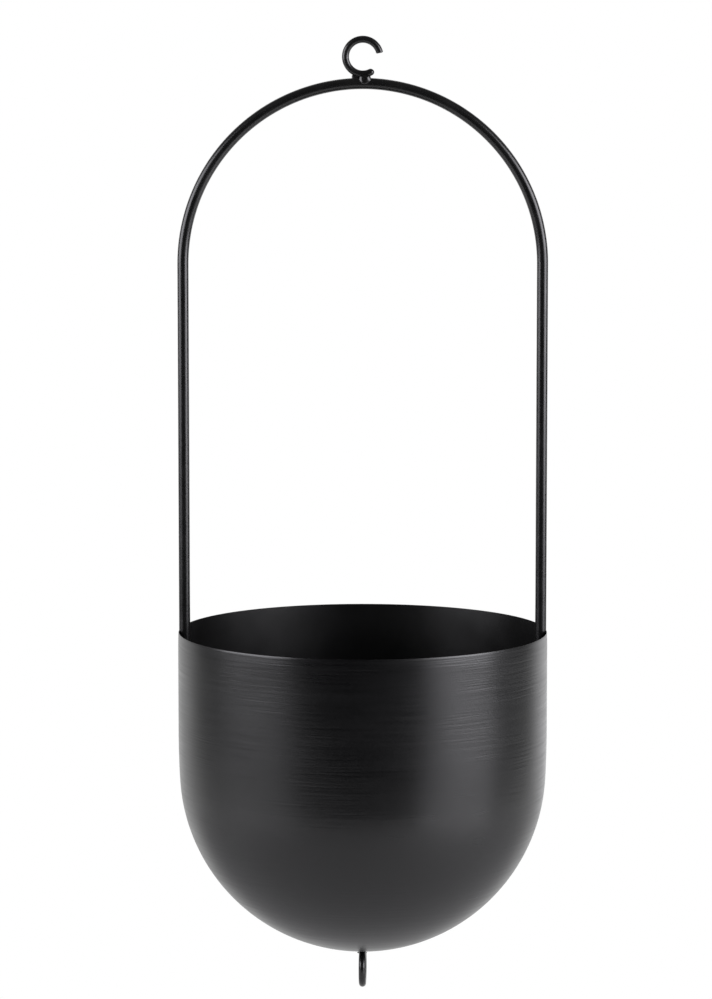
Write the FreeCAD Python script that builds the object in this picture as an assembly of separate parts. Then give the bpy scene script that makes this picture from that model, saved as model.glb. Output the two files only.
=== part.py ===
"""Hanging flower pot: a round-bottomed sheet-steel pot in a bent-rod arch, a hook above and a ring below.

Lengths are in millimetres and angles in degrees. +Z is up, and the arch stands in the XZ plane with the
hook's mouth towards +X. The origin is the point inside the top of the hook that bears on whatever the pot
hangs from, so heights are worked out downwards from there.
"""

import FreeCAD
import Part

import os
from math import asin, cos, degrees, radians, sin

from FreeCAD import Vector

# Pot, spun from one disc of sheet steel: a straight wall, a slow turn inwards, then a ball-shaped bottom
pot_diameter = 210.0  # outside, at the straight wall
sheet = 0.4  # wall thickness, with the rim edge rounded over all of it
wall_height = 56.9  # rim to the end of the straight wall
shoulder_radius = 520.0  # outside, of the slow turn below the wall
shoulder_turn = 3.1  # angle that the slow turn takes up before the ball

# Arch hanger, one round rod bent to a half circle over two straight legs
rod_diameter = 6.35
leg_above_rim = 209.0  # straight leg from the rim up to the bend
leg_lap = 45.0  # leg inside the pot, from the rim down to its end
leg_chamfer = 0.8  # at the sawn ends

# Hook and eye, bent from round wire
wire_diameter = 4.0
hook_inner_diameter = 15.4
hook_mouth_angle = 12.0  # the free end, above the hook's centre on the mouth's side
hook_tail_angle = 63.0  # the short tail past the weld, below the hook's centre
hook_end_fillet = 0.6
eye_inner_diameter = 14.9
eye_end_gap = 1.2  # between the ring's two ends, which meet under the weld

# Welds
root_gap = 0.1  # between two pieces before they are welded
leg_bead_radius = 1.6
leg_bead_length = 30.0
leg_bead_top = 8.0  # rim down to the top of the bead
hook_bead_radius = 2.0
hook_bead_length = 11.4
hook_bead_shift = 0.5  # away from the mouth
hook_lump_radius = 2.9  # extra weld metal in front and behind
hook_lump_shift = 1.2  # towards the mouth
hook_lump_drop = 0.6  # below the seam
hook_lump_depth = 1.2  # in front of and behind the seam
eye_bead_radius = 2.4
eye_bead_length = 9.0

# Sizes worked out from those above
pot_radius = pot_diameter / 2
pot_inner_radius = pot_radius - sheet
rod_radius = rod_diameter / 2
wire_radius = wire_diameter / 2
leg_x = pot_inner_radius - root_gap - rod_radius  # also the radius of the bend
shoulder_drop = shoulder_radius * sin(radians(shoulder_turn))
shoulder_inset = shoulder_radius * (1 - cos(radians(shoulder_turn)))
ball_radius = (pot_radius - shoulder_inset) / cos(radians(shoulder_turn))
hook_ring_radius = hook_inner_diameter / 2 + wire_radius
eye_ring_radius = eye_inner_diameter / 2 + wire_radius

# Heights, from the bearing point down
hook_centre_z = -hook_inner_diameter / 2
hook_bottom_z = hook_centre_z - hook_ring_radius - wire_radius
arch_top_z = hook_bottom_z - root_gap
bend_centre_z = arch_top_z - rod_radius - leg_x
rim_z = bend_centre_z - leg_above_rim
leg_end_z = rim_z - leg_lap
shoulder_z = rim_z - wall_height
ball_centre_z = shoulder_z - shoulder_drop + ball_radius * sin(radians(shoulder_turn))
pole_z = ball_centre_z - ball_radius
eye_top_z = pole_z - root_gap
eye_centre_z = eye_top_z - wire_radius - eye_ring_radius

X_AXIS = Vector(1, 0, 0)
Y_AXIS = Vector(0, 1, 0)
Z_AXIS = Vector(0, 0, 1)
same_level = 1e-6  # heights closer than this are one level


def disc(centre, normal, radius):
    """Flat round face."""
    return Part.Face(Part.Wire(Part.makeCircle(radius, centre, normal)))


def bent_ring(centre, axis, start, sweep, wire):
    """Round wire bent along an arc: a disc at the start point, turned about the axis through the centre."""
    tangent = axis.cross(start - centre)
    return disc(start, tangent, wire / 2).revolve(centre, axis, sweep)


def capsule(centre, axis, length, radius):
    """Round bar with ball ends, length from tip to tip."""
    half_bar = axis * (length / 2 - radius)
    bar = Part.makeCylinder(radius, 2 * half_bar.Length, centre - half_bar, axis)
    balls = [Part.makeSphere(radius, centre - half_bar), Part.makeSphere(radius, centre + half_bar)]
    return bar.fuse(balls).removeSplitter()


def edges_at_height(shape, z):
    """Edges that lie wholly in the level plane at z."""
    return [e for e in shape.Edges if max(abs(v.Z - z) for v in e.Vertexes) < same_level]


def turned(centre, radius, angle):
    """Point at an angle below the level line through the centre of an arc in the pot's turned profile."""
    return centre + Vector(radius * cos(radians(angle)), 0, -radius * sin(radians(angle)))


def arc(centre, radius, start, end):
    """Arc of the turned profile between two angles below the level line through its centre."""
    middle = (start + end) / 2
    points = [turned(centre, radius, angle) for angle in (start, middle, end)]
    return Part.Arc(*points).toShape()


def wall_and_bottom(inset, top_z):
    """One face of the sheet, inset from the outside: straight wall, slow turn and ball, down to the axis."""
    shoulder_centre = Vector(pot_radius - shoulder_radius, 0, shoulder_z)
    ball_centre = Vector(0, 0, ball_centre_z)
    wall_x = pot_radius - inset
    return [
        Part.makeLine(Vector(wall_x, 0, top_z), Vector(wall_x, 0, shoulder_z)),
        arc(shoulder_centre, shoulder_radius - inset, 0, shoulder_turn),
        arc(ball_centre, ball_radius - inset, shoulder_turn, 90),
    ]


def make_pot_shell():
    """Wall, round bottom and rounded rim edge in one turned profile."""
    edge_z = rim_z - sheet / 2
    outer_edge = Vector(pot_radius, 0, edge_z)
    inner_edge = Vector(pot_inner_radius, 0, edge_z)
    rim_crest = Vector(pot_radius - sheet / 2, 0, rim_z)
    rim_round = Part.Arc(inner_edge, rim_crest, outer_edge).toShape()
    on_axis = Part.makeLine(Vector(0, 0, pole_z), Vector(0, 0, pole_z + sheet))
    outside = wall_and_bottom(0, edge_z)
    inside = wall_and_bottom(sheet, edge_z)
    profile = Part.Wire([rim_round] + outside + [on_axis] + inside[::-1])
    return Part.Face(profile).revolve(Vector(0, 0, 0), Z_AXIS, 360)


def make_pot_space():
    """The room inside the straight wall, up to the rim, which bounds the weld metal there."""
    return Part.makeCylinder(pot_inner_radius, wall_height, Vector(0, 0, shoulder_z))


def make_legs_and_bend():
    """Two straight legs joined by the half-round bend, their ends sawn square."""
    bend_centre = Vector(0, 0, bend_centre_z)
    bend = bent_ring(bend_centre, -Y_AXIS, bend_centre + X_AXIS * leg_x, 180, rod_diameter)
    leg_length = bend_centre_z - leg_end_z
    legs = [Part.makeCylinder(rod_radius, leg_length, Vector(side * leg_x, 0, leg_end_z)) for side in (-1, 1)]
    return bend.fuse(legs).removeSplitter()


def make_arch_hanger():
    """Bent rod with its two sawn ends chamfered."""
    rod = make_legs_and_bend()
    return rod.makeChamfer(leg_chamfer, edges_at_height(rod, leg_end_z))


def on_hook_line(angle):
    """Point of the hook's centreline, the angle counted from the mouth's side upwards."""
    turn = radians(angle)
    return Vector(hook_ring_radius * cos(turn), 0, hook_centre_z + hook_ring_radius * sin(turn))


def make_top_hook():
    """Open C of wire, from a filleted free end at the mouth round to a ball-ended tail past the weld."""
    centre = Vector(0, 0, hook_centre_z)
    sweep = 360 - hook_tail_angle - hook_mouth_angle
    free_end = on_hook_line(hook_mouth_angle)
    bent = bent_ring(centre, -Y_AXIS, free_end, sweep, wire_diameter)
    rim_of_free_end = [
        e for e in bent.Edges if e.Closed and e.BoundBox.Center.distanceToPoint(free_end) < wire_radius / 2
    ]
    rounded = bent.makeFillet(hook_end_fillet, rim_of_free_end)
    tail_ball = Part.makeSphere(wire_radius, on_hook_line(-hook_tail_angle))
    return rounded.fuse(tail_ball).removeSplitter()


def make_bottom_eye():
    """Wire ring under the pot, square to the arch, with its two ends facing each other under the weld."""
    centre = Vector(0, 0, eye_centre_z)
    half_gap = asin(eye_end_gap / 2 / eye_ring_radius)
    start = centre + Vector(0, -eye_ring_radius * sin(half_gap), eye_ring_radius * cos(half_gap))
    return bent_ring(centre, X_AXIS, start, 360 - 2 * degrees(half_gap), wire_diameter)


def make_leg_weld(side, face, arch, pot_space):
    """Bead in the groove between a leg and the wall, on the leg's front (-1) or back (1) face."""
    in_groove = Vector(side * (leg_x + leg_bead_radius), face * rod_radius, 0)
    bead_middle = Vector(0, 0, rim_z - leg_bead_top - leg_bead_length / 2)
    bead = capsule(in_groove + bead_middle, Z_AXIS, leg_bead_length, leg_bead_radius)
    return bead.common(pot_space).cut(arch)


def make_hook_weld(arch, hook):
    """Bead along the line where hook and arch meet, with a lump in front and one behind, below the tail."""
    seam = Vector(0, 0, arch_top_z + root_gap / 2)
    bead = capsule(seam - X_AXIS * hook_bead_shift, X_AXIS, hook_bead_length, hook_bead_radius)
    beside_seam = seam + Vector(hook_lump_shift, 0, -hook_lump_drop)
    lump_centres = [beside_seam + Y_AXIS * face * hook_lump_depth for face in (-1, 1)]
    lumps = [Part.makeSphere(hook_lump_radius, centre) for centre in lump_centres]
    return bead.fuse(lumps).cut([arch, hook])


def make_eye_weld(eye):
    """Bead round the place where the ring meets the pot's lowest point."""
    bead = capsule(Vector(0, 0, pole_z), Y_AXIS, eye_bead_length, eye_bead_radius)
    ball = Part.makeSphere(ball_radius, Vector(0, 0, ball_centre_z))
    return bead.cut([ball, eye])


def make_pieces():
    """Every piece of the pot by the name of its node."""
    arch = make_arch_hanger()
    hook = make_top_hook()
    eye = make_bottom_eye()
    pot_space = make_pot_space()
    pieces = {
        "pot_shell": make_pot_shell(),
        "arch_hanger": arch,
        "top_hook": hook,
        "bottom_eye": eye,
        "hook_weld": make_hook_weld(arch, hook),
        "eye_weld": make_eye_weld(eye),
    }
    for side_name, side in (("left", -1), ("right", 1)):
        for face_name, face in (("front", -1), ("back", 1)):
            pieces[f"{side_name}_leg_{face_name}_weld"] = make_leg_weld(side, face, arch, pot_space)
    return pieces


os.makedirs("parts", exist_ok=True)
for node, shape in make_pieces().items():
    box = shape.BoundBox
    print(
        f"{node}: {len(shape.Solids)} solid, valid {shape.isValid()}, {shape.Volume:.1f} mm3,"
        f" z {box.ZMin:.2f} to {box.ZMax:.2f}, {box.XLength:.2f} x {box.YLength:.2f} x {box.ZLength:.2f}"
    )
    shape.exportStep(f"parts/{node}.step")
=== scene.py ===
"""Looks of a hanging flower pot: a spun black steel pot in a bent-rod arch, a hook above and an eye below.

Lengths are in metres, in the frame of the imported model: +Z up, the arch in the XZ plane, the hook's mouth
towards +X, and the origin where the hook bears on whatever the pot hangs from. Each piece stands in for one
solid of that model, and takes its place from that solid's box.
"""

import logging
from dataclasses import dataclass, field
from enum import Enum
from typing import Any

import bpy
import numpy as np
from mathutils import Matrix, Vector


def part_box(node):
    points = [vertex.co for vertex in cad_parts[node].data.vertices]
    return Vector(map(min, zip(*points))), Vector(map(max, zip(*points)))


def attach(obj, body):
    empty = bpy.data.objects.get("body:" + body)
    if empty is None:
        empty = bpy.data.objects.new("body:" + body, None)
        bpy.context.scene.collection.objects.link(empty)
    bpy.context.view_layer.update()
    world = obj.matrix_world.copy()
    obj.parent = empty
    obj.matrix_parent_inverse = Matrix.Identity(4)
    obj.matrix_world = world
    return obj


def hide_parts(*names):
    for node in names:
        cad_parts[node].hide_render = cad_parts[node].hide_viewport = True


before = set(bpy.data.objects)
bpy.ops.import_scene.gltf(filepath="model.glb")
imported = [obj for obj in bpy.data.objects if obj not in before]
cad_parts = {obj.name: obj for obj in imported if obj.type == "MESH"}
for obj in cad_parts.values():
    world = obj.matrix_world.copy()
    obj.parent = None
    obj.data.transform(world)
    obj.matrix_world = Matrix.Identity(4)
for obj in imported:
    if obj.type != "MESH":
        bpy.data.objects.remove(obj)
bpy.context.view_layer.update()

MM = 0.001
BODY = "root"
DOWN_WALL = "down_wall"  # attribute of the pot: the way along its section, down from the rim
INSIDE_MATERIAL = 1  # the pot's materials are the outside's and then the inside's
ROUND_LOOPS = 9  # loops along the rounded end of a rod, wire or bead
LUMP_ROWS, LUMP_COLUMNS = 50, 80  # points up and round a lump of weld metal
WELD_WAVES = ((3, 5, 0), (5, -9, 1), (2, 14, 2))  # counts round a lump, twist on the way up, start
COLOUR_A, COLOUR_B, COLOUR_RESULT = 6, 7, 2  # a Mix node's colour sockets, whose names others share

log = logging.getLogger("hanging_pot")


class Slot(Enum):
    """Material slots of the record."""

    POT = "black_brushed_steel"
    HANGER = "black_powder_coat"


class Side(Enum):
    """Legs of the arch, by the sign of their x."""

    LEFT = -1
    RIGHT = 1


class Face(Enum):
    """Front and back of a leg or seam that carries weld metal, by the sign of their y."""

    FRONT = -1
    BACK = 1


def linear(hex_colour: str) -> tuple[float, float, float, float]:
    """Turn an sRGB hex colour into the linear one that a shader takes.

    Up to 0.04045 a level is divided by 12.92. Above that 0.055 is added, and the sum over 1.055 is raised to
    the power of 2.4.

    Args:
        hex_colour: A colour such as "#1A1A1C".

    Returns:
        Linear red, green and blue, with an alpha of 1.
    """
    shown = np.array([int(hex_colour[i : i + 2], 16) for i in (1, 3, 5)]) / 255
    light = np.where(shown <= 0.04045, shown / 12.92, ((shown + 0.055) / 1.055) ** 2.4)
    return (*light.tolist(), 1.0)


def add_node(
    tree: bpy.types.NodeTree, kind: str, inputs: dict[str | int, Any] | None = None, **settings: Any
) -> bpy.types.Node:
    """Add a shader node, set it up and join it to what feeds it.

    Args:
        tree: The material's or world's node tree.
        kind: The node's type name.
        inputs: For each input, by name or number, the socket that feeds it or its constant value.
        **settings: The node's own properties.

    Returns:
        The new node.
    """
    node = tree.nodes.new(kind)
    for name, value in settings.items():
        setattr(node, name, value)
    for name, value in (inputs or {}).items():
        if isinstance(value, bpy.types.NodeSocket):
            tree.links.new(value, node.inputs[name])
        else:
            node.inputs[name].default_value = value
    return node


def new_material(name: str) -> tuple[bpy.types.Material, bpy.types.NodeTree]:
    """Start an empty node material.

    Args:
        name: The finish's name.

    Returns:
        The material and its node tree.
    """
    material = bpy.data.materials.new(name)
    material.use_nodes = True
    material.node_tree.nodes.clear()
    return material, material.node_tree


@dataclass(frozen=True)
class Shell:
    """Closed surface: a stack of closed loops of points, the first and the last of them closed by a pole.

    Faces point outwards when each loop runs right-handed about the way from the first loop to the last.
    """

    loops: np.ndarray
    first: np.ndarray
    last: np.ndarray

    def points(self) -> np.ndarray:
        """List the points of all loops, then the two poles."""
        return np.vstack([self.loops.reshape(-1, 3), self.first, self.last])

    def faces(self, offset: int) -> list[list[int]]:
        """Join neighbouring loops by quads, and the first and last loop to their poles by triangles.

        Args:
            offset: Number of points that come before this shell's in its mesh.

        Returns:
            Point numbers of each face: the quads loop by loop, then both fans.
        """
        rows, columns, _ = self.loops.shape
        index = np.arange(rows * columns).reshape(rows, columns) + offset
        beside = np.roll(index, -1, axis=1)
        quads = np.stack([index[:-1], beside[:-1], beside[1:], index[1:]], axis=-1).reshape(-1, 4)
        poles = np.full((2, columns), [[rows * columns], [rows * columns + 1]]) + offset
        first_fan = np.stack([beside[0], index[0], poles[0]], axis=-1)
        last_fan = np.stack([index[-1], beside[-1], poles[1]], axis=-1)
        return quads.tolist() + first_fan.tolist() + last_fan.tolist()


def skin(name: str, *shells: Shell) -> bpy.types.Object:
    """Make one smooth mesh object of closed shells.

    Args:
        name: Name of the object and its mesh.
        *shells: The surfaces, which may reach into each other.

    Returns:
        The object, linked to the scene, at the origin.
    """
    points = [shell.points() for shell in shells]
    offsets = np.cumsum([0] + [len(p) for p in points[:-1]])
    faces = [face for shell, offset in zip(shells, offsets) for face in shell.faces(offset)]
    mesh = bpy.data.meshes.new(name)
    mesh.from_pydata(np.vstack(points).tolist(), [], faces)
    mesh.polygons.foreach_set("use_smooth", np.ones(len(mesh.polygons), dtype=bool))
    mesh.update()
    piece = bpy.data.objects.new(name, mesh)
    bpy.context.scene.collection.objects.link(piece)
    return piece


def settle(piece: bpy.types.Object, node: str, slot: Slot, *materials: bpy.types.Material) -> None:
    """Give a finished piece its materials and body, hide the solid that it stands for, and report it by that
    solid's name.

    Args:
        piece: The finished piece.
        node: Name of the solid that it stands for.
        slot: The record's slot for its finish. Not used.
        *materials: Its materials, by the material number of its faces.
    """
    for material in materials:
        piece.data.materials.append(material)
    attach(piece, BODY)
    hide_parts(node)
    log.info("%s: %d faces, for %s", piece.name, len(piece.data.polygons), node)


def rounded_bar(
    length: float, radius: float, rounds: tuple[float, float], pace: float
) -> tuple[np.ndarray, np.ndarray]:
    """Work out where the loops of a round bar stand and how large they are, with both ends rounded over.

    Along a rounded end the loops follow a quarter circle: at the angle a from the end face, the distance from
    the end is f (1 - cos a) and the radius is the bar's less f (1 - sin a), where f is the rounding's radius.

    Args:
        length: Length of the bar.
        radius: Radius of the bar.
        rounds: Radius of the rounding at the start and at the end.
        pace: Greatest distance between loops on the plain part.

    Returns:
        Distances along the bar, and the radius at each.
    """
    turn = np.linspace(0, np.pi / 2, ROUND_LOOPS)
    start, end = rounds
    plain = np.linspace(start, length - end, int(np.ceil((length - start - end) / pace)) + 1)[1:-1]
    stations = np.concatenate([start * (1 - np.cos(turn)), plain, length - end * (1 - np.cos(turn[::-1]))])
    radii = np.concatenate(
        [
            radius - start * (1 - np.sin(turn)),
            np.full(plain.shape, radius),
            radius - end * (1 - np.sin(turn[::-1])),
        ]
    )
    return stations, radii


def tube(
    centres: np.ndarray, side: np.ndarray, lift: np.ndarray, radii: np.ndarray, columns: int
) -> np.ndarray:
    """Carry a circle along a line: each point is the centre plus r (side cos a + lift sin a).

    Args:
        centres: Points of the line, n x 3.
        side: First unit direction across the line at each point, n x 3.
        lift: Second unit direction across it, so that side x lift points along the line, n x 3.
        radii: Radius at each point, n, or n x columns where it changes round the loop.
        columns: Number of points round a loop.

    Returns:
        Loops of points, n x columns x 3.
    """
    angle = np.linspace(0, 2 * np.pi, columns, endpoint=False)
    round_about = side[:, None] * np.cos(angle)[:, None] + lift[:, None] * np.sin(angle)[:, None]
    reach = radii[:, None] if radii.ndim == 1 else radii
    return centres[:, None] + reach[..., None] * round_about


def weld_ripple(up: np.ndarray, turn: np.ndarray, depth: float) -> np.ndarray:
    """Work out the unevenness of weld metal: slow waves of different counts up and round a lump, added up.

    Args:
        up: Share of the way from the lump's lowest to its highest point.
        turn: Angle round the lump.
        depth: Greatest share by which the lump's reach changes.

    Returns:
        Shares to add to the lump's reach, nought at its poles.
    """
    waves = sum(np.sin(count * turn + twist * up + start) for count, twist, start in WELD_WAVES)
    return depth / len(WELD_WAVES) * waves * np.sin(np.pi * up)


def lump(centre: np.ndarray, reach: np.ndarray, uneven: float, fullness: float = 1.0) -> Shell:
    """Shape a lump of weld metal: an egg whose reach in each direction is changed by the weld ripple.

    At the height angle t its width is a share (cos t)^fullness of its widest, and its height a share sin t.
    A fullness below 1 makes its sides more upright.

    Args:
        centre: Middle of the lump.
        reach: Half its size along x, y and z.
        uneven: Greatest share by which the ripple changes its reach.
        fullness: Power of the cosine in its width.

    Returns:
        The lump's surface, from its lowest to its highest point.
    """
    up = np.linspace(0, 1, LUMP_ROWS)[1:-1, None]
    turn = np.linspace(0, 2 * np.pi, LUMP_COLUMNS, endpoint=False)[None, :]
    tilt = (up - 0.5) * np.pi
    wide = np.cos(tilt) ** fullness
    way = np.stack(np.broadcast_arrays(wide * np.cos(turn), wide * np.sin(turn), np.sin(tilt)), axis=-1)
    loops = centre + way * reach * (1 + weld_ripple(up, turn, uneven))[..., None]
    pole = np.array([0, 0, reach[2]])
    return Shell(loops, centre - pole, centre + pole)


@dataclass(frozen=True)
class BrushedBlackSteel:
    """Blackened sheet steel, brushed round the wall on the spinning lathe and sealed with a satin lacquer.

    The eye sees a near-black body with soft upright bands of reflected light, drawn out up and down by the
    brushing and broken by patches of thin level streaks. Real brush lines are about 0.1 mm wide: they are
    drawn 1.3 mm wide, so that they show.
    """

    dark: str = "#040405"
    light: str = "#080809"
    ior: float = 1.5
    smooth: float = 0.27
    rough: float = 0.37
    mottle_range: tuple[float, float] = (0.6, 1.4)  # streaks and clouds added up, from smooth to rough
    drawn_out: float = 0.15
    across_brushing: float = 0.25  # of a turn
    streak_length: float = 45 * MM
    streak_width: float = 1.3 * MM
    streak_depth: float = 0.112 * MM
    streak_detail: float = 1.5
    streak_breakup: float = 0.6
    patch_length: float = 60 * MM
    patch_width: float = 25 * MM
    patch_detail: float = 1.0
    patch_edge: tuple[float, float] = (0.42, 0.62)
    patch_low: float = 0.15  # share of the streaks' depth that is left between the patches
    patch_shift: tuple[float, float, float] = (25.4, 28.3, 27.1)
    cloud_size: float = 45 * MM
    cloud_detail: float = 2.0
    fade: tuple[float, float] = (60 * MM, 130 * MM)  # way down over which the streaks get shallower
    fade_to: float = 0.5

    def material(self) -> bpy.types.Material:
        """Build the material: noise drawn out round the pot into streaks drives tone, gloss and grooves.

        Returns:
            The finished material.
        """
        material, tree = new_material("brushed black lacquered steel")
        place = add_node(tree, "ShaderNodeTexCoord").outputs["Object"]
        apart = add_node(tree, "ShaderNodeSeparateXYZ", {0: place}).outputs
        down = add_node(tree, "ShaderNodeAttribute", attribute_name=DOWN_WALL).outputs["Fac"]
        unrolled = add_node(
            tree, "ShaderNodeCombineXYZ", {"X": apart["X"], "Y": apart["Y"], "Z": down}
        ).outputs[0]
        pitch = Vector((1 / self.streak_length, 1 / self.streak_length, 1 / self.streak_width))
        along = add_node(tree, "ShaderNodeMapping", {"Vector": unrolled, "Scale": pitch}).outputs[0]
        streaks = add_node(
            tree,
            "ShaderNodeTexNoise",
            {"Vector": along, "Scale": 1.0, "Detail": self.streak_detail, "Roughness": self.streak_breakup},
        ).outputs["Fac"]
        spread = Vector((1 / self.patch_length, 1 / self.patch_length, 1 / self.patch_width))
        over = add_node(
            tree, "ShaderNodeMapping", {"Vector": unrolled, "Location": self.patch_shift, "Scale": spread}
        ).outputs[0]
        patches = add_node(
            tree, "ShaderNodeTexNoise", {"Vector": over, "Scale": 1.0, "Detail": self.patch_detail}
        ).outputs["Fac"]
        in_patch = add_node(
            tree,
            "ShaderNodeMapRange",
            {
                "Value": patches,
                "From Min": self.patch_edge[0],
                "From Max": self.patch_edge[1],
                "To Min": self.patch_low,
            },
            interpolation_type="SMOOTHSTEP",
        ).outputs[0]
        on_wall = add_node(
            tree,
            "ShaderNodeMapRange",
            {
                "Value": down,
                "From Min": self.fade[0],
                "From Max": self.fade[1],
                "To Min": 1.0,
                "To Max": self.fade_to,
            },
            interpolation_type="SMOOTHSTEP",
        ).outputs[0]
        tone = add_node(
            tree,
            "ShaderNodeMix",
            {"Factor": streaks, COLOUR_A: linear(self.dark), COLOUR_B: linear(self.light)},
            data_type="RGBA",
        ).outputs[COLOUR_RESULT]
        clouds = add_node(
            tree,
            "ShaderNodeTexNoise",
            {"Vector": place, "Scale": 1 / self.cloud_size, "Detail": self.cloud_detail},
        ).outputs["Fac"]
        mottle = add_node(tree, "ShaderNodeMath", {0: streaks, 1: clouds}, operation="ADD").outputs[0]
        gloss = add_node(
            tree,
            "ShaderNodeMapRange",
            {
                "Value": mottle,
                "From Min": self.mottle_range[0],
                "From Max": self.mottle_range[1],
                "To Min": self.smooth,
                "To Max": self.rough,
            },
        ).outputs[0]
        cut = add_node(tree, "ShaderNodeMath", {0: on_wall, 1: in_patch}, operation="MULTIPLY").outputs[0]
        grooves = add_node(
            tree, "ShaderNodeBump", {"Strength": cut, "Distance": self.streak_depth, "Height": streaks}
        ).outputs[0]
        brushing = add_node(tree, "ShaderNodeTangent", direction_type="RADIAL", axis="Z").outputs[0]
        shader = add_node(
            tree,
            "ShaderNodeBsdfPrincipled",
            {
                "Base Color": tone,
                "Roughness": gloss,
                "IOR": self.ior,
                "Normal": grooves,
                "Anisotropic": self.drawn_out,
                "Anisotropic Rotation": self.across_brushing,
                "Tangent": brushing,
            },
        )
        add_node(tree, "ShaderNodeOutputMaterial", {"Surface": shader.outputs[0]})
        return material


@dataclass(frozen=True)
class MattBlackInside:
    """Thin matt black paint inside the pot, sprayed on without rubbing down.

    The eye sees a deep black that lifts a little towards the light, with a faint cloudy grain. The spray's
    grain is finer than a third of a millimetre in reality: it is drawn 1.2 mm wide, so that it shows.
    """

    dark: str = "#090909"
    light: str = "#0D0D0D"
    smooth: float = 0.31
    rough: float = 0.41
    shine: float = 0.36
    grain: float = 1.2 * MM
    grain_detail: float = 1.0
    grit_depth: float = 0.02 * MM
    grit_strength: float = 0.3
    cloud_size: float = 30 * MM
    cloud_detail: float = 4.0
    cloud_range: tuple[float, float] = (0.3, 0.7)  # of the clouds' noise, from smooth to rough

    def material(self) -> bpy.types.Material:
        """Build the material: clouds change the tone and gloss, a fine grain the bump.

        Returns:
            The finished material.
        """
        material, tree = new_material("matt black inside paint")
        place = add_node(tree, "ShaderNodeTexCoord").outputs["Object"]
        clouds = add_node(
            tree,
            "ShaderNodeTexNoise",
            {"Vector": place, "Scale": 1 / self.cloud_size, "Detail": self.cloud_detail},
        ).outputs["Fac"]
        grain = add_node(
            tree,
            "ShaderNodeTexNoise",
            {"Vector": place, "Scale": 1 / self.grain, "Detail": self.grain_detail},
        ).outputs["Fac"]
        tone = add_node(
            tree,
            "ShaderNodeMix",
            {"Factor": clouds, COLOUR_A: linear(self.dark), COLOUR_B: linear(self.light)},
            data_type="RGBA",
        ).outputs[COLOUR_RESULT]
        gloss = add_node(
            tree,
            "ShaderNodeMapRange",
            {
                "Value": clouds,
                "From Min": self.cloud_range[0],
                "From Max": self.cloud_range[1],
                "To Min": self.smooth,
                "To Max": self.rough,
            },
        ).outputs[0]
        grit = add_node(
            tree,
            "ShaderNodeBump",
            {"Strength": self.grit_strength, "Distance": self.grit_depth, "Height": grain},
        ).outputs[0]
        shader = add_node(
            tree,
            "ShaderNodeBsdfPrincipled",
            {"Base Color": tone, "Roughness": gloss, "Specular IOR Level": self.shine, "Normal": grit},
        )
        add_node(tree, "ShaderNodeOutputMaterial", {"Surface": shader.outputs[0]})
        return material


@dataclass(frozen=True)
class BlackPowderCoat:
    """Satin black powder coat, baked on rod, wire and weld metal.

    The eye sees black with long soft highlights and a faint orange peel, drawn 1.1 mm wide, which is coarser
    than its real half millimetre, so that it shows.
    """

    name: str = "satin black powder coat"
    dark: str = "#0C0C0C"
    light: str = "#141414"
    smooth: float = 0.24
    rough: float = 0.32
    peel: float = 1.1 * MM
    peel_detail: float = 1.0
    peel_depth: float = 0.007 * MM
    peel_strength: float = 0.5
    drift_size: float = 13.75 * MM
    drift_detail: float = 2.0
    drift_range: tuple[float, float] = (0.3, 0.7)  # of the drift's noise, from smooth to rough

    def material(self) -> bpy.types.Material:
        """Build the material: one noise gives the orange peel, a wider one the drift in tone and gloss.

        Returns:
            The finished material.
        """
        material, tree = new_material(self.name)
        place = add_node(tree, "ShaderNodeTexCoord").outputs["Object"]
        peel = add_node(
            tree, "ShaderNodeTexNoise", {"Vector": place, "Scale": 1 / self.peel, "Detail": self.peel_detail}
        ).outputs["Fac"]
        drift = add_node(
            tree,
            "ShaderNodeTexNoise",
            {"Vector": place, "Scale": 1 / self.drift_size, "Detail": self.drift_detail},
        ).outputs["Fac"]
        tone = add_node(
            tree,
            "ShaderNodeMix",
            {"Factor": drift, COLOUR_A: linear(self.dark), COLOUR_B: linear(self.light)},
            data_type="RGBA",
        ).outputs[COLOUR_RESULT]
        gloss = add_node(
            tree,
            "ShaderNodeMapRange",
            {
                "Value": drift,
                "From Min": self.drift_range[0],
                "From Max": self.drift_range[1],
                "To Min": self.smooth,
                "To Max": self.rough,
            },
        ).outputs[0]
        orange_peel = add_node(
            tree,
            "ShaderNodeBump",
            {"Strength": self.peel_strength, "Distance": self.peel_depth, "Height": peel},
        ).outputs[0]
        shader = add_node(
            tree, "ShaderNodeBsdfPrincipled", {"Base Color": tone, "Roughness": gloss, "Normal": orange_peel}
        )
        add_node(tree, "ShaderNodeOutputMaterial", {"Surface": shader.outputs[0]})
        return material


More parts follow.
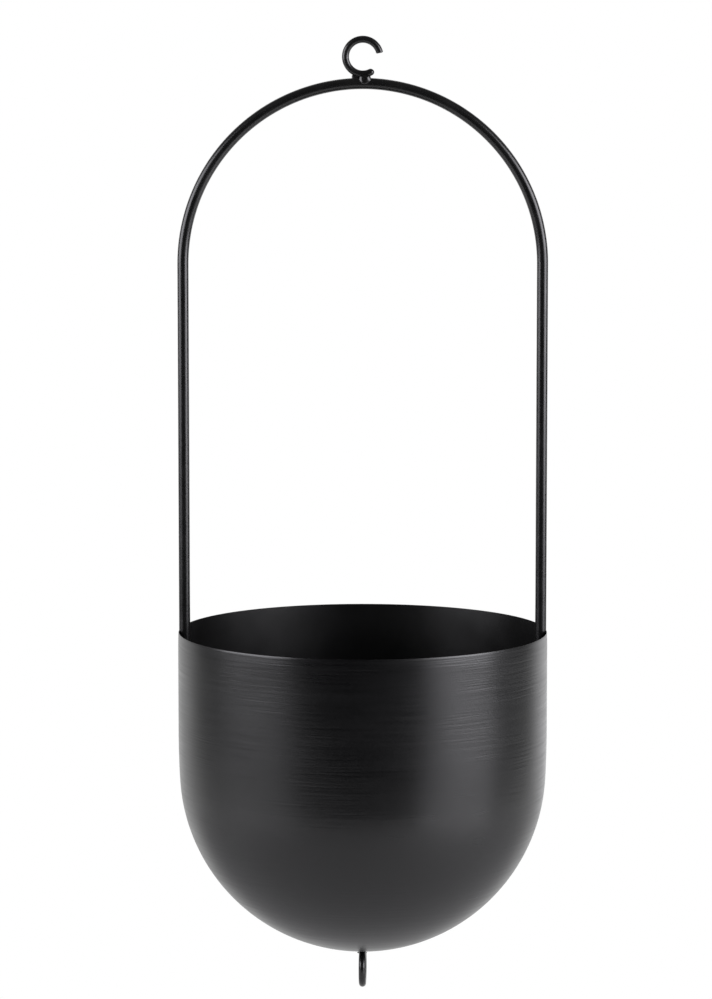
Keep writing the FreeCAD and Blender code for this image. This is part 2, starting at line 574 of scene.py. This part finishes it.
@dataclass
class SpunPot:
    """Pot spun from one disc: an eased rim, a straight wall, a slow turn inwards and a ball-shaped bottom."""

    sheet: float = 0.4 * MM
    wall_height: float = 56.9 * MM
    shoulder_radius: float = 520 * MM
    shoulder_turn: float = np.radians(3.1)
    roll_inset: float = 0.2 * MM
    roll_depth: float = 1.2 * MM
    lean_inset: float = 0.13 * MM
    lean_depth: float = 9 * MM
    wall_points: int = 75
    wall_crowding: float = 2.5  # power that crowds the wall's points towards the rim
    shoulder_points: int = 14
    ball_points: int = 75
    edge_points: int = 13
    columns: int = 256
    high: Vector = field(init=False)

    def __post_init__(self) -> None:
        """Take the pot's place from its solid."""
        _, self.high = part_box("pot_shell")

    def rim_inset(self, depth: np.ndarray) -> np.ndarray:
        """Work out how far the wall stands in near the rim.

        The eased edge stands in by a share (1 - v)^2 of its inset, with v going from 0 at the rim to 1 at the
        roll's depth. The lean below it stands in by a share (1 - u)^4 (1 + 4 u) of its own, with u going on
        from there to 1 at the lean's depth.

        Args:
            depth: Depths below the edge.

        Returns:
            Distances inwards from the straight wall.
        """
        v = np.clip(depth / self.roll_depth, 0, 1)
        u = np.clip((depth - self.roll_depth) / (self.lean_depth - self.roll_depth), 0, 1)
        return self.roll_inset * (1 - v) ** 2 + self.lean_inset * (1 - u) ** 4 * (1 + 4 * u)

    def face_line(self, offset: float, depth: np.ndarray, inset: np.ndarray) -> np.ndarray:
        """Draw one face of the sheet from the rim down to the axis.

        The wall is straight but for its inset near the rim. Below it an arc of the shoulder's radius turns
        in, and an arc that meets it without a kink, centred on the axis, closes the bottom.

        Args:
            offset: Distance of the face inwards from the outside of the sheet.
            depth: Depths below the rim of the wall's points.
            inset: How far the wall stands in at each of them.

        Returns:
            Radius and height of each point, n x 2.
        """
        radius, turn = self.high.x, self.shoulder_turn
        ball = (radius - self.shoulder_radius * (1 - np.cos(turn))) / np.cos(turn)
        wall_end = self.high.z - self.wall_height
        shoulder_centre = np.array([radius - self.shoulder_radius, wall_end])
        ball_centre = np.array([0, wall_end - (self.shoulder_radius - ball) * np.sin(turn)])
        slow = np.linspace(0, turn, self.shoulder_points)[1:, None]
        fast = np.linspace(turn, np.pi / 2, self.ball_points)[1:, None]
        return np.vstack(
            [
                np.stack([radius - offset - inset, self.high.z - depth], axis=-1),
                shoulder_centre + (self.shoulder_radius - offset) * np.hstack([np.cos(slow), -np.sin(slow)]),
                ball_centre + (ball - offset) * np.hstack([np.cos(fast), -np.sin(fast)]),
            ]
        )

    def build(self) -> bpy.types.Object:
        """Turn the sheet's section about the axis: up the inside, over the rounded edge, down the outside.

        The inside is straight up to the rim, the outside is eased in there, and a half circle between the two
        closes the edge. A point at radius r and height z goes to (r cos a, -r sin a, z). Its way along the
        section, down from the rim, is kept as an attribute.

        Returns:
            The pot's object, with the inside's faces on the second material.
        """
        edge_half = (self.sheet - self.roll_inset - self.lean_inset) / 2
        share = np.linspace(0, 1, self.wall_points) ** self.wall_crowding
        depth = edge_half + (self.wall_height - edge_half) * share
        inner = self.face_line(self.sheet, depth, 0 * depth)
        outer = self.face_line(0, depth, self.rim_inset(depth - edge_half))
        turn = np.linspace(np.pi, 0, self.edge_points)[1:-1, None]
        edge = (inner[0] + outer[0]) / 2 + edge_half * np.hstack([np.cos(turn), np.sin(turn)])
        section = np.vstack([inner[-2::-1], edge, outer[:-1]])
        r, z = section[:, :1], section[:, 1:]
        angle = np.linspace(0, 2 * np.pi, self.columns, endpoint=False)
        loops = np.stack(np.broadcast_arrays(r * np.cos(angle), -r * np.sin(angle), z), axis=-1)
        pot = skin("spun_pot", Shell(loops, np.array([0, 0, inner[-1, 1]]), np.array([0, 0, outer[-1, 1]])))
        way = np.concatenate([[0], np.cumsum(np.hypot(*np.diff(section, axis=0).T))])
        inside_loops = len(inner) - 1
        down = np.abs(way - way[inside_loops + len(edge) // 2])
        values = np.concatenate([np.repeat(down, self.columns), down[[0, -1]]])
        kept = pot.data.attributes.new(DOWN_WALL, "FLOAT", "POINT")
        kept.data.foreach_set("value", values.astype(np.float32))
        numbers = np.zeros(len(pot.data.polygons), dtype=np.int32)
        numbers[: (inside_loops - 1) * self.columns] = INSIDE_MATERIAL
        numbers[-2 * self.columns : -self.columns] = INSIDE_MATERIAL
        pot.data.polygons.foreach_set("material_index", numbers)
        return pot

    def dress(self, pot: bpy.types.Object) -> None:
        """Brushed lacquered steel outside, matt paint inside."""
        settle(pot, "pot_shell", Slot.POT, BrushedBlackSteel().material(), MattBlackInside().material())


@dataclass
class RodArch:
    """One round rod, bent to a half circle over two straight legs that reach down inside the pot."""

    end_round: float = 0.8 * MM
    columns: int = 48
    pace: float = 3 * MM
    low: Vector = field(init=False)
    high: Vector = field(init=False)

    def __post_init__(self) -> None:
        """Take the arch's place from its solid."""
        self.low, self.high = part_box("arch_hanger")

    @property
    def rod(self) -> float:
        """Radius of the rod, half the solid's depth."""
        return (self.high.y - self.low.y) / 2

    @property
    def bend(self) -> float:
        """Radius of the bend at the rod's centre, which also is the legs' distance from the axis."""
        return self.high.x - self.rod

    def build(self) -> bpy.types.Object:
        """Carry a circle up the left leg, round the bend and down the right leg.

        At the distance s along a line of legs L and bend R, the turn is a = (s - L) / R held between 0 and
        pi. The point is R (-cos a, sin a) about the bend's centre, less what is left of the leg at either
        end, and the way outwards from the arch is (-cos a, sin a).

        Returns:
            The arch's object.
        """
        bend_z = self.high.z - self.rod - self.bend
        leg = bend_z - self.low.z
        length = 2 * leg + np.pi * self.bend
        stations, radii = rounded_bar(length, self.rod, (self.end_round, self.end_round), self.pace)

        def line(s: np.ndarray) -> tuple[np.ndarray, np.ndarray]:
            """Follow the rod's centre.

            Args:
                s: Distances along it.

            Returns:
                Points of the centre, and the ways outwards there.
            """
            turn = np.clip((s - leg) / self.bend, 0, np.pi)
            below = np.maximum(leg - s, 0) + np.maximum(s - length + leg, 0)
            outwards = np.stack([-np.cos(turn), np.zeros_like(s), np.sin(turn)], axis=-1)
            centres = self.bend * outwards + np.stack([0 * s, 0 * s, bend_z - below], axis=-1)
            return centres, outwards

        centres, outwards = line(stations)
        forwards = np.broadcast_to([0.0, -1.0, 0.0], outwards.shape)
        ends, _ = line(np.array([0, length]))
        loops = tube(centres, outwards, forwards, radii, self.columns)
        return skin("rod_arch", Shell(loops, ends[0], ends[1]))

    def dress(self, arch: bpy.types.Object, coat: bpy.types.Material) -> None:
        """Black powder coat."""
        settle(arch, "arch_hanger", Slot.HANGER, coat)


@dataclass
class WireHook:
    """Open C of wire on top of the arch, with a cut free end at its mouth and a short tail past the weld."""

    mouth: float = np.radians(12)
    tail: float = np.radians(63)
    end_round: float = 0.6 * MM
    columns: int = 40
    pace: float = 0.6 * MM
    low: Vector = field(init=False)
    high: Vector = field(init=False)

    def __post_init__(self) -> None:
        """Take the hook's place from its solid."""
        self.low, self.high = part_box("top_hook")

    def build(self) -> bpy.types.Object:
        """Carry a circle round the ring from the free end over the top to the tail.

        At the distance s the turn is a = mouth + s / R, and the point is R (cos a, sin a) about the centre.

        Returns:
            The hook's object.
        """
        wire = (self.high.y - self.low.y) / 2
        ring = (self.high.z - self.low.z) / 2 - wire
        centre_z = (self.high.z + self.low.z) / 2
        length = ring * (2 * np.pi - self.mouth - self.tail) + wire
        stations, radii = rounded_bar(length, wire, (self.end_round, wire), self.pace)

        def line(s: np.ndarray) -> tuple[np.ndarray, np.ndarray]:
            """Follow the wire's centre.

            Args:
                s: Distances along it.

            Returns:
                Points of the centre, and the ways outwards there.
            """
            turn = self.mouth + s / ring
            outwards = np.stack([np.cos(turn), np.zeros_like(s), np.sin(turn)], axis=-1)
            return ring * outwards + np.array([0, 0, centre_z]), outwards

        centres, outwards = line(stations)
        backwards = np.broadcast_to([0.0, 1.0, 0.0], outwards.shape)
        ends, _ = line(np.array([0, length]))
        loops = tube(centres, outwards, backwards, radii, self.columns)
        return skin("wire_hook", Shell(loops, ends[0], ends[1]))

    def dress(self, hook: bpy.types.Object, coat: bpy.types.Material) -> None:
        """Black powder coat."""
        settle(hook, "top_hook", Slot.HANGER, coat)


@dataclass
class WireEye:
    """Ring of wire under the pot, square to the arch but a little out of true, its ends under the weld."""

    gap: float = 1.2 * MM
    end_round: float = 0.3 * MM
    out_of_true: float = np.radians(2.0)
    columns: int = 40
    pace: float = 0.6 * MM
    low: Vector = field(init=False)
    high: Vector = field(init=False)

    def __post_init__(self) -> None:
        """Take the ring's place from its solid."""
        self.low, self.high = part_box("bottom_eye")

    def build(self) -> bpy.types.Object:
        """Carry a circle round the ring from one end at the top to the other.

        At the distance s the turn is a = g + s / R, where g is half the angle of the gap. The point is
        R (sin a, cos a) about the ring's centre, across and up, with across turned out of true.

        Returns:
            The ring's object.
        """
        wire = (self.high.x - self.low.x) / 2
        ring = (self.high.y - self.low.y) / 2 - wire
        centre = np.array([0, 0, self.low.z + wire + ring])
        half_gap = np.arcsin(self.gap / 2 / ring)
        length = ring * (2 * np.pi - 2 * half_gap)
        stations, radii = rounded_bar(length, wire, (self.end_round, self.end_round), self.pace)
        across = np.array([np.sin(self.out_of_true), np.cos(self.out_of_true), 0])
        aside = np.array([np.cos(self.out_of_true), -np.sin(self.out_of_true), 0])
        upwards = np.array([0, 0, 1.0])

        def line(s: np.ndarray) -> tuple[np.ndarray, np.ndarray]:
            """Follow the wire's centre.

            Args:
                s: Distances along it.

            Returns:
                Points of the centre, and the ways outwards there.
            """
            turn = half_gap + s / ring
            outwards = np.sin(turn)[:, None] * across + np.cos(turn)[:, None] * upwards
            return centre + ring * outwards, outwards

        centres, outwards = line(stations)
        ends, _ = line(np.array([0, length]))
        loops = tube(centres, outwards, np.broadcast_to(aside, outwards.shape), radii, self.columns)
        return skin("wire_eye", Shell(loops, ends[0], ends[1]))

    def dress(self, eye: bpy.types.Object, coat: bpy.types.Material) -> None:
        """Black powder coat."""
        settle(eye, "bottom_eye", Slot.HANGER, coat)


@dataclass
class HookWeld:
    """Bead that joins the hook to the arch, with an upright lump of weld metal in front and one behind."""

    bead_radius: float = 1.9 * MM
    bead_end_round: float = 1.1 * MM
    bead_short: float = 0.8 * MM
    ripple_pitch: float = 2.6 * MM
    ripple_depth: float = 0.06 * MM
    pace: float = 0.2 * MM
    lump_x: float = 1.2 * MM
    lump_drop: float = 1.1 * MM
    lump_depth: float = 1.1 * MM
    lump_reach: tuple[float, float, float] = (3.5 * MM, 2.6 * MM, 2.6 * MM)
    fullness: float = 0.3
    uneven: float = 0.05
    columns: int = 40

    def build(self) -> bpy.types.Object:
        """Lay a slightly rippled round bead along the seam and set a lump in front of it and one behind.

        The bead's radius is changed by a share d sin(2 pi s / p) at the distance s along it, where p is the
        ripple's pitch and d its depth over the radius.

        Returns:
            The weld's object.
        """
        low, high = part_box("hook_weld")
        _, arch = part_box("arch_hanger")
        length = high.x - low.x - self.bead_short
        rounds = (self.bead_end_round, self.bead_end_round)
        stations, radii = rounded_bar(length, self.bead_radius, rounds, self.pace)
        swell = 1 + self.ripple_depth / self.bead_radius * np.sin(2 * np.pi * stations / self.ripple_pitch)
        centres = np.stack([low.x + stations, 0 * stations, np.full_like(stations, arch.z)], axis=-1)
        deep = np.broadcast_to([0.0, 1.0, 0.0], centres.shape)
        upwards = np.broadcast_to([0.0, 0.0, 1.0], centres.shape)
        bead = tube(centres, deep, upwards, radii * swell, self.columns)
        middles = [
            np.array([self.lump_x, face.value * self.lump_depth, arch.z - self.lump_drop]) for face in Face
        ]
        lumps = [lump(middle, np.array(self.lump_reach), self.uneven, self.fullness) for middle in middles]
        return skin("hook_weld_bead", Shell(bead, centres[0], centres[-1]), *lumps)

    def dress(self, weld: bpy.types.Object, coat: bpy.types.Material) -> None:
        """Black powder coat over the weld metal."""
        settle(weld, "hook_weld", Slot.HANGER, coat)


@dataclass
class EyeWeld:
    """Bead that joins the ring to the pot's lowest point, over a thin uneven lip of run-out metal."""

    bead_reach: tuple[float, float, float] = (2.15 * MM, 4.4 * MM, 3.3 * MM)
    lip_reach: tuple[float, float, float] = (2.75 * MM, 2.8 * MM, 0.4 * MM)
    lip_x: float = -0.35 * MM
    lip_drop: float = 3.1 * MM
    uneven: float = 0.1

    def build(self) -> bpy.types.Object:
        """Set a lump round the ring's ends and a flat lip under it.

        Returns:
            The weld's object.
        """
        low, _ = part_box("pot_shell")
        bead = lump(np.array([0, 0, low.z]), np.array(self.bead_reach), self.uneven)
        lip = lump(np.array([self.lip_x, 0, low.z - self.lip_drop]), np.array(self.lip_reach), self.uneven)
        return skin("eye_weld_bead", bead, lip)

    def dress(self, weld: bpy.types.Object, coat: bpy.types.Material) -> None:
        """Black powder coat over the weld metal."""
        settle(weld, "eye_weld", Slot.HANGER, coat)


@dataclass
class LegWeld:
    """Rippled bead in the groove between a leg and the inside of the wall."""

    side: Side
    face: Face
    ripple_pitch: float = 1.9 * MM
    ripple_depth: float = 0.16 * MM
    least_radius: float = 0.02 * MM
    columns: int = 32
    pace: float = 0.25 * MM

    @property
    def node(self) -> str:
        """Name of the solid that this bead stands for."""
        return f"{self.side.name.lower()}_leg_{self.face.name.lower()}_weld"

    def build(self) -> bpy.types.Object:
        """Carry a circle up the groove, its radius rising and falling by one ripple in each pitch.

        At the distance s the radius is less by d (1 - |sin(pi s / p)|), where p is the ripple's pitch and d
        its depth, which shrinks with the radius towards the rounded ends.

        Returns:
            The weld's object.
        """
        low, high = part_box(self.node)
        radius = (high.y - low.y) / 2
        middle = (low + high) / 2
        length = high.z - low.z
        stations, radii = rounded_bar(length, radius, (radius, radius), self.pace)
        swell = self.ripple_depth * (np.abs(np.sin(np.pi * stations / self.ripple_pitch)) - 1)
        radii = np.maximum(radii + swell * (radii / radius), self.least_radius)
        centres = np.stack(
            [np.full_like(stations, middle.x), np.full_like(stations, middle.y), low.z + stations], axis=-1
        )
        across = np.broadcast_to([1.0, 0.0, 0.0], centres.shape)
        deep = np.broadcast_to([0.0, 1.0, 0.0], centres.shape)
        name = f"{self.side.name.lower()}_{self.face.name.lower()}_leg_bead"
        loops = tube(centres, across, deep, radii, self.columns)
        return skin(name, Shell(loops, centres[0], centres[-1]))

    def dress(self, weld: bpy.types.Object, coat: bpy.types.Material) -> None:
        """Black powder coat over the weld metal."""
        settle(weld, self.node, Slot.HANGER, coat)


@dataclass(frozen=True)
class Softbox:
    """Large soft lamp, or a white card that throws light back, upright and facing the object.

    It stands at a turn in degrees about the axis, from the camera's side, plus to the right. Its level is the
    brightness that it shows, where 1 is white.
    """

    name: str
    turn: float
    distance: float
    width: float
    bottom: float
    top: float
    level: float
    tint: str = "#FAF9FF"

    def light(self) -> None:
        """Set up the area lamp, whose power is pi times its area times its level."""
        lamp = bpy.data.lights.new(self.name, "AREA")
        lamp.shape = "RECTANGLE"
        lamp.size = self.width
        lamp.size_y = self.top - self.bottom
        lamp.energy = np.pi * lamp.size * lamp.size_y * self.level
        lamp.color = linear(self.tint)[:3]
        box = bpy.data.objects.new(self.name, lamp)
        turn = np.radians(self.turn)
        box.location = (
            self.distance * np.sin(turn),
            -self.distance * np.cos(turn),
            (self.top + self.bottom) / 2,
        )
        box.rotation_euler = (np.pi / 2, 0, turn)
        box.visible_camera = False
        bpy.context.scene.collection.objects.link(box)


@dataclass
class Studio:
    """White paper floor, a dim room that is white behind the object, lamps, white cards and the camera."""

    floor_drop: float = 0.4
    floor_front: float = 1.4
    floor_back: float = 3.0
    floor_half_width: float = 2.4
    paper: str = "#F2F2F0"
    fan_spread: float = 0.5  # way backwards at which the mirrored fan starts, for each metre to the side
    fan_fade: tuple[float, float] = (0.1, 0.7)
    far_fade: tuple[float, float] = (1.1, 1.9)
    pool_fade: tuple[float, float] = (0.45, 1.05)
    # How white the room looks in the metal, from straight behind the camera at -1 to behind the object at 1
    room: tuple[tuple[float, float], ...] = (
        (-1.0, 0.0),
        (-0.6, 0.06),
        (0.0, 0.15),
        (0.54, 0.15),
        (0.77, 1.0),
    )
    room_turn: float = np.radians(2.5)  # of the room's white part to the left
    fill: float = 0.12  # level of the room as a light
    lamps: tuple[Softbox, ...] = (
        Softbox("right_softbox", turn=63, distance=2.0, width=1.6, bottom=-0.5, top=1.1, level=4.8),
        Softbox("right_softbox_middle", turn=68, distance=2.0, width=1.2, bottom=-0.5, top=1.1, level=3.0),
        Softbox("right_card", turn=60, distance=1.1, width=1.0, bottom=-0.93, top=-0.62, level=1.0),
        Softbox("right_rear_card", turn=150, distance=2.0, width=1.4, bottom=-0.9, top=0.7, level=0.35),
        Softbox("left_softbox", turn=-71, distance=2.0, width=1.7, bottom=-0.35, top=1.1, level=5.9),
        Softbox("left_card", turn=-66, distance=1.1, width=1.0, bottom=-0.93, top=-0.62, level=0.4),
    )
    camera_distance: float = 2.5
    camera_above_rim: float = 384.8 * MM
    camera_x: float = -3.8 * MM
    camera_pitch: float = np.radians(7.058)
    lens: float = 160.04  # in millimetres, as the sensor's width
    sensor_width: float = 36

    def sight(self, tree: bpy.types.NodeTree) -> tuple[bpy.types.NodeSocket, bpy.types.NodeSocket]:
        """Tell rays of sight from rays that carry light.

        Args:
            tree: The node tree to add the test to.

        Returns:
            The socket that is 1 for rays straight from the camera, and that for rays mirrored or let through.
        """
        ray = add_node(tree, "ShaderNodeLightPath").outputs
        mirrored = add_node(
            tree,
            "ShaderNodeMath",
            {0: ray["Is Glossy Ray"], 1: ray["Is Transmission Ray"]},
            operation="MAXIMUM",
        ).outputs[0]
        return ray["Is Camera Ray"], mirrored

    def floor(self) -> None:
        """Lay the paper: matt white under the object, where its shadow falls, and plain white further away.

        Straight from the camera the plain white lies all round. Mirrored in the metal it is a fan that opens
        backwards, and whatever is far off. From below the paper is clear, so that the underside can be seen.
        """
        low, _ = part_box("bottom_eye")
        z = low.z - self.floor_drop
        across = np.array([-1, 1, 1, -1]) * self.floor_half_width
        along = np.array([-self.floor_front, -self.floor_front, self.floor_back, self.floor_back])
        mesh = bpy.data.meshes.new("paper_floor")
        mesh.from_pydata(np.stack([across, along, np.full(4, z)], axis=-1).tolist(), [], [[0, 1, 2, 3]])
        paper = bpy.data.objects.new("paper_floor", mesh)
        bpy.context.scene.collection.objects.link(paper)
        material, tree = new_material("white paper")
        place = add_node(tree, "ShaderNodeTexCoord").outputs["Object"]
        apart = add_node(tree, "ShaderNodeSeparateXYZ", {0: place}).outputs
        aside = add_node(tree, "ShaderNodeMath", {0: apart["X"]}, operation="ABSOLUTE").outputs[0]
        narrowed = add_node(
            tree, "ShaderNodeMath", {0: aside, 1: -self.fan_spread, 2: apart["Y"]}, operation="MULTIPLY_ADD"
        ).outputs[0]
        away = add_node(
            tree, "ShaderNodeVectorMath", {0: place, 1: (0.0, 0.0, z)}, operation="DISTANCE"
        ).outputs["Value"]
        fan, far, pool = (
            add_node(
                tree,
                "ShaderNodeMapRange",
                {"Value": value, "From Min": fade[0], "From Max": fade[1]},
                interpolation_type="SMOOTHSTEP",
            ).outputs[0]
            for value, fade in ((narrowed, self.fan_fade), (away, self.far_fade), (away, self.pool_fade))
        )
        camera, mirrored = self.sight(tree)
        fan_or_far = add_node(tree, "ShaderNodeMath", {0: fan, 1: far}, operation="MAXIMUM").outputs[0]
        in_metal = add_node(
            tree, "ShaderNodeMath", {0: fan_or_far, 1: mirrored}, operation="MULTIPLY"
        ).outputs[0]
        plain = add_node(
            tree, "ShaderNodeMath", {0: pool, 1: camera, 2: in_metal}, operation="MULTIPLY_ADD"
        ).outputs[0]
        matt = add_node(tree, "ShaderNodeBsdfDiffuse", {"Color": linear(self.paper)}).outputs[0]
        glow = add_node(tree, "ShaderNodeEmission", {"Strength": 1.0}).outputs[0]
        upper = add_node(tree, "ShaderNodeMixShader", {0: plain, 1: matt, 2: glow}).outputs[0]
        below = add_node(tree, "ShaderNodeNewGeometry").outputs["Backfacing"]
        clear = add_node(tree, "ShaderNodeBsdfTransparent").outputs[0]
        sheet = add_node(tree, "ShaderNodeMixShader", {0: below, 1: upper, 2: clear}).outputs[0]
        add_node(tree, "ShaderNodeOutputMaterial", {"Surface": sheet})
        mesh.materials.append(material)

    def world(self) -> None:
        """Set up the room: dark behind the camera, white behind the object, plain white to the camera."""
        world = bpy.data.worlds.new("studio")
        world.use_nodes = True
        tree = world.node_tree
        tree.nodes.clear()
        way = add_node(tree, "ShaderNodeTexCoord").outputs["Generated"]
        facing = (-np.sin(self.room_turn), np.cos(self.room_turn), 0.0)
        back = add_node(
            tree, "ShaderNodeVectorMath", {0: way, 1: facing}, operation="DOT_PRODUCT"
        ).outputs["Value"]
        share = add_node(tree, "ShaderNodeMapRange", {"Value": back, "From Min": -1.0}).outputs[0]
        ramp = add_node(tree, "ShaderNodeValToRGB", {0: share})
        stops = ramp.color_ramp.elements
        stops.remove(stops[0])
        backwards, white = self.room[-1]
        stops[0].position, stops[0].color = (backwards + 1) / 2, (white, white, white, 1)
        for backwards, white in self.room[:-1]:
            stops.new((backwards + 1) / 2).color = (white, white, white, 1)
        room = ramp.outputs["Color"]
        camera, mirrored = self.sight(tree)
        level = add_node(tree, "ShaderNodeMix", {"Factor": mirrored, "A": self.fill, "B": room}).outputs[0]
        strength = add_node(tree, "ShaderNodeMath", {0: level, 1: camera}, operation="MAXIMUM").outputs[0]
        sky = add_node(tree, "ShaderNodeBackground", {"Color": (1, 1, 1, 1), "Strength": strength})
        add_node(tree, "ShaderNodeOutputWorld", {"Surface": sky.outputs[0]})
        bpy.context.scene.world = world

    def light(self) -> None:
        """Light the object from both sides, with a low card before each side's lamps and a card behind."""
        for lamp in self.lamps:
            lamp.light()

    def camera(self) -> None:
        """Stand the camera in front, a little above the hook, looking slightly down."""
        _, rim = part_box("pot_shell")
        data = bpy.data.cameras.new("photo_camera")
        data.lens = self.lens
        data.sensor_width = self.sensor_width
        camera = bpy.data.objects.new("photo_camera", data)
        camera.location = (self.camera_x, -self.camera_distance, rim.z + self.camera_above_rim)
        camera.rotation_euler = (np.pi / 2 - self.camera_pitch, 0, 0)
        bpy.context.scene.collection.objects.link(camera)
        bpy.context.scene.camera = camera

    def build(self) -> None:
        """Set up floor, world, lamps, camera and the plain view transform."""
        self.floor()
        self.world()
        self.light()
        self.camera()
        bpy.context.scene.view_settings.view_transform = "Standard"


def main() -> None:
    """Build and dress every sub-assembly, then the studio around them."""
    logging.basicConfig(level=logging.INFO, format="%(message)s")
    coat = BlackPowderCoat().material()
    weld_coat = BlackPowderCoat(name="black coat over weld metal", smooth=0.2, rough=0.3).material()
    pot = SpunPot()
    pot.dress(pot.build())
    for part in (RodArch(), WireHook(), WireEye()):
        part.dress(part.build(), coat)
    legs = [LegWeld(side, face) for side in Side for face in Face]
    for weld in (HookWeld(), EyeWeld(), *legs):
        weld.dress(weld.build(), weld_coat)
    Studio().build()


if __name__ == "__main__":
    main()
